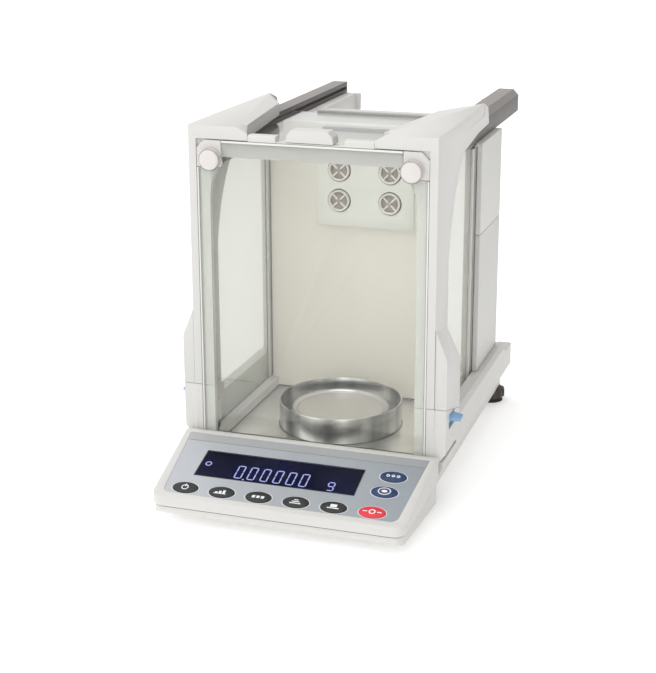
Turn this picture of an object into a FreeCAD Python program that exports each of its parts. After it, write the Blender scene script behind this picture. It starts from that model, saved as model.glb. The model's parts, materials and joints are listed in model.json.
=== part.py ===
"""Analytical balance with a glass draft shield, built as separate pieces.

Millimetres, +X to the user's right when facing the front, +Z up.
Every sub-part function draws its piece with y = 0 at the front face of the
draft shield and z = 0 on the table; export() then moves it back by
SHIELD_FRONT so that the origin is the middle of the footprint.
Left pieces are mirror images of the right ones.
"""
import FreeCAD
import Part
import math
import os

from FreeCAD import Placement, Rotation, Vector

os.makedirs("parts", exist_ok=True)

# ---- driving dimensions ------------------------------------------------------
SHIELD_FRONT = -134.5          # y of the draft shield's front face in the part's frame
GAP = 0.3                      # assembly gap between separate pieces

# base
BASE_HALF_WIDTH = 118.0
BASE_FRONT = 4.0
BASE_REAR = 298.0
TRAY_HALF_WIDTH = 108.0
TRAY_BOTTOM = 14.0
TRAY_TOP = 20.0
FLOOR_TOP = 37.4
FLOOR_THICKNESS = 1.2
FLOOR_HALF_WIDTH = 89.6
TRACK_TOP = 46.4
LEDGE_TOP = 70.0
REAR_DECK_TOP = 60.0
FRONT_FOOT_HEIGHT = TRAY_BOTTOM

# draft shield
CHAMBER_REAR = 162.0
WALL_THICKNESS = 3.0
PILLAR_HALF_WIDTH = 110.0
PILLAR_INNER = 92.0
PILLAR_DEPTH = 43.5
PILLAR_WALL_INNER = 104.3
FLANGE_DEPTH = 9.0
SHIELD_TOP = 326.0
FLARE_HALF_WIDTH = 120.6
FLARE_DEPTH = 51.0
SEAM_FRONT = 92.5              # height of the pillar and base seam at the front
SEAM_REAR = 78.3               # and at the flare's rear edge
CAP_BOTTOM = 314.6
HEADER_BOTTOM = 299.0
BAR_TOP = 319.5
BAR_HALF_WIDTH = 55.8
CORNER_INNER = 80.0            # inner edge of the glass clamp at each top corner

# glass
PANE_HALF_WIDTH = 102.7
PANE_FRONT = 0.4
PANE_REAR = 3.4
PANE_TOP = 313.5
NOTCH_BOTTOM = 290.0
DOOR_GLASS_INNER = 99.0
DOOR_GLASS_OUTER = 102.0
TOP_GLASS_BOTTOM = 306.4
TOP_GLASS_TOP = 309.2
TOP_GLASS_REAR = 193.0

# rails
RAIL_INNER = 83.0
RAIL_OUTER = 104.0
RAIL_BOTTOM = 292.0
RAIL_TOP = 314.2
RAIL_FRONT = 10.0
RAIL_REAR = 365.5
END_CAP_THICKNESS = 2.0
SUPPORT_REAR = 364.0

# rear column
COLUMN_FRONT = 168.5
COLUMN_REAR = 257.0
COLUMN_SEAM = 205.0
HOUSING_HALF_WIDTH = 95.5
HOUSING_TOP = 303.0
GRILLE_RADIUS = 11.0
GRILLE_X = 25.0
GRILLE_HEIGHTS = (231.7, 261.0)

# pan and ring
PAN_Y = 85.0
RING_RADIUS = 57.0
RING_TOP = 61.3
RING_WALL = 1.2
PAN_RADIUS = 45.0
PAN_TOP = 52.0

# weigh cell
BEAM_PIVOT_Y = 196.0
BEAM_PIVOT_Z = 92.0
COIL_Y = 220.0

# clamp knobs
KNOB_X = 88.8
KNOB_Z = 297.6
KNOB_RADIUS = 9.25
KNOB_SHAFT_RADIUS = 3.0

# lock levers
SLOT_FRONT = 12.0
SLOT_REAR = 32.0
SLOT_BOTTOM = 71.0
SLOT_TOP = 84.0
LEVER_TIP = 129.5

# levelling feet
FOOT_X = 100.0
FOOT_Y = 286.0
FOOT_RADIUS = 15.0
FOOT_WHEEL_TOP = 13.0
STUD_RADIUS = 4.0
RUNNING_CLEARANCE = 0.05

# display unit
DISPLAY_FRONT = -98.5
DISPLAY_REAR = -1.0
DISPLAY_FRONT_HALF = 111.0
DISPLAY_REAR_HALF = 115.8
DISPLAY_BOTTOM = 9.5
FACE_ORIGIN_Y = -95.0          # the sloped face starts here
FACE_ORIGIN_Z = 26.3
FACE_SLOPE = math.atan(0.2849)
PANEL_TOP = -0.3               # the panel's surface, measured along the face's normal
PANEL_BOTTOM = -1.3
KEY_SEMI_X = 11.4
KEY_SEMI_V = 6.9
KEY_RISE = 1.2
WINDOW = (-84.3, 58.8, 30.8, 64.5)
DARK_KEYS_X = (-85.1, -52.0, -18.9, 14.2, 47.1)
DARK_KEYS_V = 12.6
KEYS = {
    "key_power": (DARK_KEYS_X[0], DARK_KEYS_V),
    "key_calibrate": (DARK_KEYS_X[1], DARK_KEYS_V),
    "key_mode": (DARK_KEYS_X[2], DARK_KEYS_V),
    "key_range": (DARK_KEYS_X[3], DARK_KEYS_V),
    "key_print": (DARK_KEYS_X[4], DARK_KEYS_V),
    "key_zero": (80.3, 12.8),
    "key_select": (85.3, 60.2),
    "key_ionizer": (83.2, 39.6),
}


# ---- helpers -----------------------------------------------------------------
def box(x0, x1, y0, y1, z0, z1):
    """Box between two corners."""
    return Part.makeBox(x1 - x0, y1 - y0, z1 - z0, Vector(x0, y0, z0))


def prism(points, direction):
    """Closed polygon of vectors, extruded along a vector."""
    wire = Part.makePolygon(points + [points[0]])
    return Part.Face(wire).extrude(direction)


def prism_x(points_yz, x0, x1):
    """Polygon in the YZ plane, extruded from x0 to x1."""
    return prism([Vector(x0, y, z) for y, z in points_yz], Vector(x1 - x0, 0, 0))


def prism_y(points_xz, y0, y1):
    """Polygon in the XZ plane, extruded from y0 to y1."""
    return prism([Vector(x, y0, z) for x, z in points_xz], Vector(0, y1 - y0, 0))


def prism_z(points_xy, z0, z1):
    """Polygon in the XY plane, extruded from z0 to z1."""
    return prism([Vector(x, y, z0) for x, y in points_xy], Vector(0, 0, z1 - z0))


def rod_z(x, y, z0, z1, radius):
    """Upright round rod."""
    return Part.makeCylinder(radius, z1 - z0, Vector(x, y, z0))


def rod_y(x, z, y0, y1, radius):
    """Round rod from front to back."""
    return Part.makeCylinder(radius, y1 - y0, Vector(x, y0, z), Vector(0, 1, 0))


def ring_z(x, y, z0, z1, outer, inner):
    """Upright tube."""
    return rod_z(x, y, z0, z1, outer).cut(rod_z(x, y, z0 - 1, z1 + 1, inner))


def joined(first, *others):
    """Union of solids, with the seams between flush faces removed."""
    return first.fuse(list(others)).removeSplitter()


def mirrored(shape):
    """The same piece for the other side."""
    return shape.mirror(Vector(0, 0, 0), Vector(1, 0, 0))


def fillet_upright(shape, radius, corners):
    """Round the upright edges that stand at the given x, y corners."""
    chosen = []
    for edge in shape.Edges:
        first = edge.Vertexes[0].Point
        last = edge.Vertexes[-1].Point
        upright = abs(first.x - last.x) + abs(first.y - last.y) < 0.01
        for x, y in corners:
            if upright and abs(first.x - x) + abs(first.y - y) < 0.05:
                chosen.append(edge)
    return shape.makeFillet(radius, chosen)


def export(name, *solids):
    """Move the solids into the part's frame and write one STEP file."""
    shape = solids[0] if len(solids) == 1 else Part.makeCompound(list(solids))
    shape = shape.copy()
    shape.translate(Vector(0, SHIELD_FRONT, 0))
    if not shape.isValid():
        raise ValueError(name + " is not valid")
    shape.exportStep("parts/" + name + ".step")


def export_pair(name, right):
    """Write the right piece and its mirror image."""
    export(name + "_right", right)
    export(name + "_left", mirrored(right))


# ---- base --------------------------------------------------------------------
def base_tray():
    """Shallow bottom tray with bosses for the feet and a tongue under the display."""
    tray = box(-TRAY_HALF_WIDTH, TRAY_HALF_WIDTH, 8, 296, TRAY_BOTTOM, TRAY_TOP)
    inside = box(-TRAY_HALF_WIDTH + 2.5, TRAY_HALF_WIDTH - 2.5, 10.5, 293.5, TRAY_BOTTOM + 3, TRAY_TOP + 1)
    tongue = box(-70, 70, -70, 8, 7, DISPLAY_BOTTOM - 0.1)
    web = box(-70, 70, 0, 12, 7, TRAY_BOTTOM + 3)
    tray = joined(tray.cut(inside), tongue, web)
    for side in (-1, 1):
        tray = joined(tray, rod_z(side * FOOT_X, FOOT_Y, TRAY_BOTTOM, 26, 7.9))
    for side in (-1, 1):
        bore = rod_z(side * FOOT_X, FOOT_Y, TRAY_BOTTOM - 1, 27, STUD_RADIUS + RUNNING_CLEARANCE)
        tray = tray.cut(bore)
    return tray


def base_section(bottom):
    """Outline of the base across its width, from the given bottom height up."""
    half = [
        (TRAY_HALF_WIDTH, bottom),
        (BASE_HALF_WIDTH, 38),
        (BASE_HALF_WIDTH, LEDGE_TOP - 4.5),
        (115, LEDGE_TOP),
        (105, LEDGE_TOP),
        (105, TRACK_TOP),
        (FLOOR_HALF_WIDTH, TRACK_TOP),
        (FLOOR_HALF_WIDTH, FLOOR_TOP - FLOOR_THICKNESS),
    ]
    return half + [(-x, z) for x, z in reversed(half)]


def base_housing():
    """Upper base moulding: floor bed, door tracks, side ledges and rear deck."""
    body = prism_y(base_section(TRAY_TOP), BASE_FRONT, BASE_REAR)
    rear_block = box(-96, 96, CHAMBER_REAR + 3.2, BASE_REAR, 30, REAR_DECK_TOP)
    sill = box(-PANE_HALF_WIDTH, PANE_HALF_WIDTH, 0, 8, 40, TRACK_TOP)
    body = joined(body, rear_block, sill)
    body = body.cut(box(-100, 100, 8, CHAMBER_REAR + 6, TRAY_TOP - 1, 33))
    body = body.cut(box(-92, 92, CHAMBER_REAR + 6, 294, TRAY_TOP - 1, 57))
    body = body.cut(box(-88, 88, 172, 253, 56, 61))
    body = body.cut(rod_z(0, PAN_Y, 30, 38, 14))
    body = body.cut(box(-125, 125, 265, 300, REAR_DECK_TOP, 80))
    for side in (-1, 1):
        low, high = sorted((side * 98.3, side * 102.7))
        body = body.cut(box(low, high, 9.4, BASE_REAR + 1, 41.4, 50))
        low, high = sorted((side * 104.8, side * 125))
        body = body.cut(box(low, high, -1, FLARE_DEPTH + 1.3, 43.6, 80))
        low, high = sorted((side * (PILLAR_INNER - 0.2), side * 125))
        body = body.cut(box(low, high, -1, 9.3, 43.6, 80))
        body = body.cut(rod_z(side * FOOT_X, FOOT_Y, TRAY_TOP - 1, 28, 8.2))
    body = body.cut(rod_y(-60, 40, 290, 300, 6.2))
    body = body.cut(box(-30, 2, 290, 300, 33, 47))
    body = body.cut(box(20, 34, 290, 300, 33, 46))
    return body


def chamber_floor():
    """Stainless floor sheet with the hole for the pan's post."""
    sheet = box(
        -FLOOR_HALF_WIDTH + 0.2, FLOOR_HALF_WIDTH - 0.2,
        8.2, CHAMBER_REAR - 0.2,
        FLOOR_TOP - FLOOR_THICKNESS, FLOOR_TOP,
    )
    return sheet.cut(rod_z(0, PAN_Y, 30, 40, 12))


def corner_outline():
    """Plan of the lower corner block, right side."""
    return [
        (PILLAR_INNER, 3.6),
        (103, 3.6),
        (103, 0),
        (PILLAR_HALF_WIDTH, 0),
        (PILLAR_HALF_WIDTH + 0.5, 0.8),
        (FLARE_HALF_WIDTH, 0.8),
        (FLARE_HALF_WIDTH, FLARE_DEPTH),
        (FLARE_HALF_WIDTH - 2, FLARE_DEPTH + 1),
        (105, FLARE_DEPTH + 1),
        (105, FLANGE_DEPTH),
        (PILLAR_INNER, FLANGE_DEPTH),
    ]


def seam_cutter(below):
    """Everything under (or over) the sloping seam between corner block and pillar."""
    slope = (SEAM_REAR - SEAM_FRONT) / FLARE_DEPTH
    front_z = SEAM_FRONT - 5 * slope
    rear_z = SEAM_REAR + 20 * slope
    far_z = 0 if below else 400
    outline = [(-5, front_z), (FLARE_DEPTH + 20, rear_z), (FLARE_DEPTH + 20, far_z), (-5, far_z)]
    return prism_x(outline, 60, 130)


def corner_block():
    """Lower corner of the draft shield, with the slot for the lock lever."""
    block = prism_z(corner_outline(), 43.7, 100)
    lowered = seam_cutter(True)
    lowered.translate(Vector(0, 0, -GAP))
    block = block.common(lowered)
    undercut = prism_y([(112, 40), (130, 40), (130, 58), (FLARE_HALF_WIDTH, 52)], -5, 60)
    block = block.cut(undercut)
    slot = box(112, 125, SLOT_FRONT, SLOT_REAR, SLOT_BOTTOM, SLOT_TOP)
    return block.cut(slot)


def lock_lever():
    """Sliding lever with a finger tab, at the top of its slot."""
    plate = box(113, 119.6, SLOT_FRONT + 0.4, SLOT_REAR - 0.4, 75.6, SLOT_TOP - 0.3)
    tab = prism_y([(119, 76.6), (LEVER_TIP, 77.6), (LEVER_TIP, 80.4), (119, 82.4)], 17, 28)
    return joined(plate, tab)


def front_feet():
    """Two rubber pads under the front of the base."""
    return [rod_z(side * 92, 22, 0, FRONT_FOOT_HEIGHT, 12) for side in (-1, 1)]


def foot_pad():
    """Rubber disc that a levelling foot stands on."""
    return Part.makeCone(13, 11.5, 4, Vector(FOOT_X, FOOT_Y, 0))


def foot_wheel():
    """Scalloped thumbwheel pressed on the foot's stud."""
    wheel = rod_z(FOOT_X, FOOT_Y, 4.1, FOOT_WHEEL_TOP, FOOT_RADIUS)
    for step in range(12):
        angle = math.radians(30 * step)
        x = FOOT_X + (FOOT_RADIUS + 1.6) * math.cos(angle)
        y = FOOT_Y + (FOOT_RADIUS + 1.6) * math.sin(angle)
        wheel = wheel.cut(rod_z(x, y, 3, 14, 2.6))
    return wheel


def foot_stud():
    """Threaded stud, drawn at the thread's outer radius."""
    return rod_z(FOOT_X, FOOT_Y, FOOT_WHEEL_TOP, 25, STUD_RADIUS)


def rear_connectors():
    """Power inlet, serial socket and data socket in the base's rear wall."""
    inlet = rod_y(-60, 40, 284, 299.5, 6.0).cut(rod_y(-60, 40, 290.5, 300, 3.2))
    serial = joined(box(-29.8, 1.8, 288, 299, 33.2, 46.8), prism_y(
        [(-23, 36), (-5, 36), (-4, 44.5), (-24, 44.5)], 299, 303))
    data = box(20.2, 33.8, 288, 299.5, 33.2, 45.8)
    return [inlet, serial, data]


# ---- draft shield ------------------------------------------------------------
def pillar_flange():
    """Front flange with the rebate for the glass and the knob's corner gusset."""
    outline = [
        (PILLAR_INNER, 3.6),
        (103, 3.6),
        (103, 0),
        (PILLAR_HALF_WIDTH, 0),
        (PILLAR_HALF_WIDTH, FLANGE_DEPTH),
        (PILLAR_INNER, FLANGE_DEPTH),
    ]
    flange = prism_z(outline, 70, CAP_BOTTOM)
    gusset = prism_y([
        (PILLAR_INNER, 262), (90.5, 276), (CORNER_INNER + 1, HEADER_BOTTOM),
        (CORNER_INNER + 0.4, PANE_TOP + 0.4), (PILLAR_INNER, PANE_TOP + 0.4),
    ], 3.6, FLANGE_DEPTH)
    return joined(flange, gusset)


def pillar_wall():
    """Outer wall; its rear edge sweeps back under the rail towards the top."""
    rear_edge = Part.BSplineCurve()
    rear_edge.interpolate([
        Vector(PILLAR_WALL_INNER, 43.5, 212), Vector(PILLAR_WALL_INNER, 53.7, 247),
        Vector(PILLAR_WALL_INNER, 66, 269), Vector(PILLAR_WALL_INNER, 82, 286),
        Vector(PILLAR_WALL_INNER, 100, 297),
    ])
    corners = [
        (100, 297), (160, 303), (211, 304), (205.5, 320), (188, SHIELD_TOP), (0, SHIELD_TOP),
        (0, 70), (PILLAR_DEPTH, 70), (PILLAR_DEPTH, 212),
    ]
    points = [Vector(PILLAR_WALL_INNER, y, z) for y, z in corners]
    wire = Part.Wire([rear_edge.toShape()] + Part.makePolygon(points).Edges)
    wall = Part.Face(wire).extrude(Vector(PILLAR_HALF_WIDTH - PILLAR_WALL_INNER, 0, 0))
    taper = prism_z([(111, -1), (PILLAR_HALF_WIDTH, 60), (106.6, 205), (106.4, 215), (115, 215)], 60, 330)
    return wall.cut(taper)


def pillar_cap():
    """Wedge-shaped cap over the front of the rail."""
    outline = [
        (56, 0), (PILLAR_HALF_WIDTH, 0), (PILLAR_HALF_WIDTH, 60), (107, 188), (106, 188), (76, 134), (60, 10),
    ]
    cap = prism_z(outline, CAP_BOTTOM, SHIELD_TOP)
    slope = prism_y([(50, 318.5), (54, 319.5), (66, SHIELD_TOP), (66, 330), (50, 330)], -1, 12)
    return cap.cut(slope)


def pillar_flare():
    """Side bulge that widens the foot of the pillar."""
    outline = [
        (PILLAR_WALL_INNER, 0.8), (FLARE_HALF_WIDTH, 0.8), (FLARE_HALF_WIDTH, FLARE_DEPTH),
        (PILLAR_HALF_WIDTH, PILLAR_DEPTH), (PILLAR_WALL_INNER, PILLAR_DEPTH),
    ]
    flare = prism_z(outline, 70, 175)
    low_front = Vector(FLARE_HALF_WIDTH, 0.8, 136.5)
    low_rear = Vector(FLARE_HALF_WIDTH, FLARE_DEPTH, 124.4)
    high_front = Vector(PILLAR_HALF_WIDTH, 2, 162.5)
    normal = (low_rear - low_front).cross(high_front - low_front)
    if normal.z < 0:
        normal = normal.negative()
    cutter = Part.makeBox(200, 200, 80, Vector(-100, -100, 0))
    cutter.Placement = Placement(low_front, Rotation(Vector(0, 0, 1), normal))
    return flare.cut(cutter)


def front_pillar():
    """Right-hand pillar moulding: flange, outer wall, cap and flare in one."""
    pillar = joined(pillar_flange(), pillar_wall(), pillar_cap(), pillar_flare())
    pillar = pillar.common(joined(seam_cutter(False), box(50, 130, -5, 230, 200, 400)))
    bore = rod_y(KNOB_X, KNOB_Z, 0, 20, KNOB_SHAFT_RADIUS + RUNNING_CLEARANCE)
    groove = box(PILLAR_HALF_WIDTH, PILLAR_HALF_WIDTH + 0.5, 0, 1.6, 70, 165)
    return pillar.cut(bore).cut(groove)


def front_crossbar():
    """Header behind the glass and the bar above it, with the grip's recess."""
    header = box(-CORNER_INNER, CORNER_INNER, 3.6, 10, HEADER_BOTTOM, PANE_TOP + 0.4)
    bar = prism_x([(0, 313.9), (0, 318.3), (1.2, BAR_TOP), (10, BAR_TOP), (10, 313.9)],
                  -BAR_HALF_WIDTH, BAR_HALF_WIDTH)
    recess = box(-31, 30, -1, 11, 314.6, 321)
    return joined(header, bar).cut(recess)


def front_pane():
    """Front glass, notched at both top corners for the clamps."""
    outline = [
        (-PANE_HALF_WIDTH, TRACK_TOP + 0.2), (PANE_HALF_WIDTH, TRACK_TOP + 0.2),
        (PANE_HALF_WIDTH, NOTCH_BOTTOM), (CORNER_INNER, NOTCH_BOTTOM), (CORNER_INNER, PANE_TOP),
        (-CORNER_INNER, PANE_TOP), (-CORNER_INNER, NOTCH_BOTTOM), (-PANE_HALF_WIDTH, NOTCH_BOTTOM),
    ]
    return prism_y(outline, PANE_FRONT, PANE_REAR)


def pane_clamp():
    """Corner plate that fills the glass's notch under the clamp knob."""
    outline = [
        (CORNER_INNER + GAP, NOTCH_BOTTOM + GAP), (PANE_HALF_WIDTH, NOTCH_BOTTOM + GAP),
        (PANE_HALF_WIDTH, PANE_TOP - 7), (PANE_HALF_WIDTH - 7, PANE_TOP), (CORNER_INNER + GAP, PANE_TOP),
    ]
    plate = prism_y(outline, PANE_FRONT, PANE_REAR)
    return plate.cut(rod_y(KNOB_X, KNOB_Z, -1, 5, KNOB_SHAFT_RADIUS + 0.3))


def clamp_knob():
    """Round knob on a short shaft that turns in the pillar."""
    head = rod_y(KNOB_X, KNOB_Z, -8, 0.2, KNOB_RADIUS)
    front_rim = [edge for edge in head.Edges if edge.BoundBox.YMax < -7.9]
    head = head.makeFillet(1.4, front_rim)
    return joined(head, rod_y(KNOB_X, KNOB_Z, 0, 8.6, KNOB_SHAFT_RADIUS))


def door_rail():
    """Extruded rail: slot below for the side door, groove inside for the top door."""
    outline = [
        (RAIL_INNER, RAIL_BOTTOM), (RAIL_OUTER, RAIL_BOTTOM), (RAIL_OUTER, 308.4),
        (98.6, RAIL_TOP), (RAIL_INNER, RAIL_TOP),
    ]
    rail = prism_y(outline, RAIL_FRONT, RAIL_REAR)
    rail = rail.cut(box(98.4, 102.6, 0, 370, RAIL_BOTTOM - 1, 305))
    rail = rail.cut(box(RAIL_INNER - 1, 88, 0, 370, 306, 309.6))
    return rail.cut(box(RAIL_INNER - 1, 86, 0, 370, 297.5, 302))


def rail_end_cap():
    """Moulded cap over the rail's rear end."""
    outline = [
        (RAIL_INNER, RAIL_BOTTOM), (RAIL_OUTER, RAIL_BOTTOM), (RAIL_OUTER, 308.4),
        (98.6, RAIL_TOP), (RAIL_INNER, RAIL_TOP),
    ]
    return prism_y(outline, RAIL_REAR, RAIL_REAR + END_CAP_THICKNESS)


def rail_support():
    """Bracket behind the column that carries the rail's overhang."""
    arm = box(71, 88, COLUMN_REAR + GAP, SUPPORT_REAR, 280, RAIL_BOTTOM - 0.1)
    web = box(71, 82.7, COLUMN_REAR + GAP, SUPPORT_REAR, 290, HOUSING_TOP)
    end_plate = box(66.2, 82.7, SUPPORT_REAR - 5, SUPPORT_REAR, 284, HOUSING_TOP)
    taper = prism_x([(300, 275), (370, 275), (370, 287)], 60, 100)
    return joined(arm, web, end_plate).cut(taper)


# ---- doors -------------------------------------------------------------------
def side_door_glass():
    """Sliding glass of the right side door."""
    return box(DOOR_GLASS_INNER, DOOR_GLASS_OUTER, 10.6, 164, 42, 303.5)


def side_door_frame():
    """Front and rear edge profiles of the side door; the front one has a finger tab inside."""
    stile = box(96.8, 103.8, 9.6, 16, TRACK_TOP + 0.6, RAIL_BOTTOM - 4)
    tab = box(93, 97, 11, 20, 54, 74)
    rear = box(96.8, 103.8, 158, 164.6, TRACK_TOP + 0.6, RAIL_BOTTOM - 4)
    slot = box(DOOR_GLASS_INNER, DOOR_GLASS_OUTER, 10.6, 164, 40, 304)
    front_piece = joined(stile, tab).cut(slot)
    return [front_piece, rear.cut(slot)]


def top_door_glass():
    """Sliding glass over the chamber."""
    return box(-87, 87, 10.8, TOP_GLASS_REAR, TOP_GLASS_BOTTOM, TOP_GLASS_TOP)


def top_door_grip():
    """Front strip with the raised finger grip, and the rear stop bar."""
    strip = box(-80, 80, 10.4, 16, TOP_GLASS_BOTTOM - 1.2, TOP_GLASS_TOP + 2)
    glass_slot = box(-90, 90, 10.8, 17, TOP_GLASS_BOTTOM, TOP_GLASS_TOP)
    riser = box(-20, 18, 10.4, 16, TOP_GLASS_TOP + 1, 320)
    tab = prism_y([(-22, 315), (20, 315), (19.2, 321), (15, 325.6), (-17, 325.6), (-21.2, 321)], 0.3, 16)
    bar = box(-57.5, 57.5, 189, 194, TOP_GLASS_TOP, TOP_GLASS_TOP + 2.6)
    return [joined(strip.cut(glass_slot), riser, tab), bar]


# ---- rear column -------------------------------------------------------------
def rear_wall():
    """Wall between the chamber and the column, with the ionizer's holes."""
    wall = box(-HOUSING_HALF_WIDTH, HOUSING_HALF_WIDTH, CHAMBER_REAR, CHAMBER_REAR + WALL_THICKNESS,
               FLOOR_TOP + 0.1, HOUSING_TOP)
    for side in (-1, 1):
        low, high = sorted((side * (FLOOR_HALF_WIDTH - 0.2), side * 100))
        wall = wall.cut(box(low, high, 160, 170, 30, TRACK_TOP + 0.1))
        low, high = sorted((side * 82.7, side * 100))
        wall = wall.cut(box(low, high, 160, 170, RAIL_BOTTOM - 0.2, 310))
        for height in GRILLE_HEIGHTS:
            wall = wall.cut(rod_y(side * GRILLE_X, height, 160, 170, 8))
    return wall


def ionizer_panel():
    """Raised panel on the rear wall that carries the four outlets."""
    panel = box(-48.1, 48.1, 158.5, CHAMBER_REAR, 207, HOUSING_TOP - 0.5)
    for side in (-1, 1):
        for height in GRILLE_HEIGHTS:
            panel = panel.cut(rod_y(side * GRILLE_X, height, 150, 170, GRILLE_RADIUS + 0.4))
    return panel


def ionizer_grille(x, z):
    """Round outlet cap with a cross of vents."""
    disc = rod_y(x, z, 157, CHAMBER_REAR, GRILLE_RADIUS)
    for angle in (45, 135):
        vent = box(-6.5, 6.5, 156, 163, -1.2, 1.2)
        vent.rotate(Vector(0, 0, 0), Vector(0, 1, 0), angle)
        vent.translate(Vector(x, 0, z))
        disc = disc.cut(vent)
    return disc


def ionizer_board():
    """High-voltage board behind the rear wall with one needle per outlet."""
    solids = [box(-42, 42, 172, 173.6, 214, 274)]
    for side in (-1, 1):
        for height in GRILLE_HEIGHTS:
            solids.append(rod_y(side * GRILLE_X, height, 165.5, 172, 0.8))
    return solids


def cell_housing():
    """Box around the weigh cell and the boards, open to the front and below."""
    outer = box(-HOUSING_HALF_WIDTH, HOUSING_HALF_WIDTH, 165.2, COLUMN_REAR, REAR_DECK_TOP, HOUSING_TOP)
    inner = box(-92, 92, 160, 254, 50, 288.5)
    housing = outer.cut(inner)
    housing = housing.cut(box(-79, 79, 160, 254, 280, 300))
    for side in (-1, 1):
        low, high = sorted((side * 82.7, side * 100))
        housing = housing.cut(box(low, high, 160, 260, RAIL_BOTTOM - 0.2, 310))
    return housing


def rear_cover(bottom, top):
    """Outer skin beside the door's channel, right side."""
    return box(105, PILLAR_HALF_WIDTH, COLUMN_FRONT, COLUMN_REAR, bottom, top)


def rear_covers_upper():
    """Upper skins, with a lip that reaches under the rail."""
    solids = []
    for side in (1, -1):
        skin = rear_cover(COLUMN_SEAM + GAP, RAIL_BOTTOM - 0.1)
        lip = box(103, 105.5, COLUMN_FRONT, COLUMN_REAR, 288.5, RAIL_BOTTOM - 0.1)
        skin = joined(skin, lip)
        solids.append(skin if side > 0 else mirrored(skin))
    return solids


def main_board():
    """Processor and power board with its larger components."""
    board = box(-80, 80, 249.5, 251.1, 165, 280)
    shield_can = box(-60, -10, 240, 249.5, 200, 250)
    transformer = box(20, 55, 228, 249.5, 210, 245)
    capacitors = [rod_y(x, 180, 236, 249.5, 6) for x in (-50, -30, -10)]
    return [board, shield_can, transformer] + capacitors


# ---- weighing mechanism ------------------------------------------------------
def draft_ring():
    """Thin steel ring that keeps air off the pan."""
    return ring_z(0, PAN_Y, FLOOR_TOP, RING_TOP, RING_RADIUS, RING_RADIUS - RING_WALL)


def weighing_pan():
    """Shallow pan with a hub that sits on the hanger's cone."""
    profile = [
        (0, PAN_TOP), (PAN_RADIUS - 1.5, PAN_TOP), (PAN_RADIUS - 0.8, PAN_TOP + 1.4), (PAN_RADIUS, PAN_TOP + 1.4),
        (PAN_RADIUS, PAN_TOP - 1.6), (10, PAN_TOP - 1.6), (9, 42), (0, 42),
    ]
    wire = Part.makePolygon([Vector(x, 0, z) for x, z in profile + [profile[0]]])
    pan = Part.Face(wire).revolve(Vector(0, 0, 0), Vector(0, 0, 1), 360)
    pan.translate(Vector(0, PAN_Y, 0))
    return pan.cut(Part.makeCone(5.2, 3.2, 6, Vector(0, PAN_Y, 42)))


def pan_hanger():
    """Post, cantilever arm and upright plate that carry the load to the cell."""
    arm = box(-9, 9, 76, 182, 22, 28)
    post = rod_z(0, PAN_Y, 27, 42, 5.2)
    cone = Part.makeCone(5.2, 3.2, 6, Vector(0, PAN_Y, 42))
    plate = box(-25, 25, 176, 182, 22, 150)
    lug = box(-4, 4, 182, 190, 96, 100)
    receiver = box(-76, -25, 176, 182, 44, 54)
    shelf = box(-76, -52, 182, 230, 50, 54)
    return joined(arm, post, cone, plate, lug, receiver, shelf)


def cell_frame():
    """Fixed body of the weigh cell with its beam posts and parallel links."""
    foot = box(-40, 40, 190, 252, TRAY_BOTTOM + 3, 25)
    column = box(-30, 30, 242, 252, 25, 152)
    bracket = box(-24, 24, 190, 242, 46, 50)
    posts = [box(low, low + 6, 192, 200, 50, 98) for low in (-14, 8)]
    frame = joined(foot, column, bracket, *posts)
    frame = frame.cut(Part.makeCylinder(2.05, 60, Vector(-30, BEAM_PIVOT_Y, BEAM_PIVOT_Z), Vector(1, 0, 0)))
    links = [box(-22, 22, 182.4, 242, z, z + 1.6) for z in (34, 144)]
    return [frame] + links


def cell_magnet():
    """Pot magnet: outer cup and centre pole."""
    cup = rod_z(0, COIL_Y, 50, 74, 18).cut(rod_z(0, COIL_Y, 56, 80, 14.5))
    return joined(cup, rod_z(0, COIL_Y, 50, 74, 10))


def weigh_beam():
    """Transmission lever with its pivot shaft and the coil in the magnet's gap."""
    lever = box(-5, 5, 184.5, 232, 88, 95)
    shaft = Part.makeCylinder(2.0, 26, Vector(-13, BEAM_PIVOT_Y, BEAM_PIVOT_Z), Vector(1, 0, 0))
    stem = rod_z(0, COIL_Y, 80, 89, 5)
    bobbin = rod_z(0, COIL_Y, 76, 81, 13.2)
    coil = ring_z(0, COIL_Y, 60, 76.5, 13.2, 11.4)
    return joined(lever, shaft, stem, bobbin, coil)


def calibration_weight():
    """Built-in reference weight on its lifting fork."""
    weight = rod_z(-64, 208, 58, 92, 13)
    neck = rod_z(-64, 208, 92, 97, 6)
    head = rod_z(-64, 208, 97, 101, 13)
    fork = box(-88, -81, 200, 216, 96, 101)
    arm = box(-84, -64, 204, 212, 97, 101)
    return joined(weight, neck, head, fork, arm)


def calibration_motor():
    """Gear motor with the guide that the fork runs on."""
    body = box(-91.8, -81.5, 226, 250, 66, 130)
    guide = box(-91.8, -88.2, 196, 250, 62, 130)
    gearbox = rod_z(-70, 238, 110, 140, 10)
    bridge = box(-88, -66, 232, 244, 118, 128)
    return joined(body, guide, gearbox, bridge)


def bubble_level():
    """Round spirit level behind the pan: holder and glass vial."""
    holder = ring_z(-10, 152.6, FLOOR_TOP, 43, 8, 6.2)
    vial = rod_z(-10, 152.6, FLOOR_TOP + 0.4, 42.6, 6.2)
    return [holder, vial]


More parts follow.
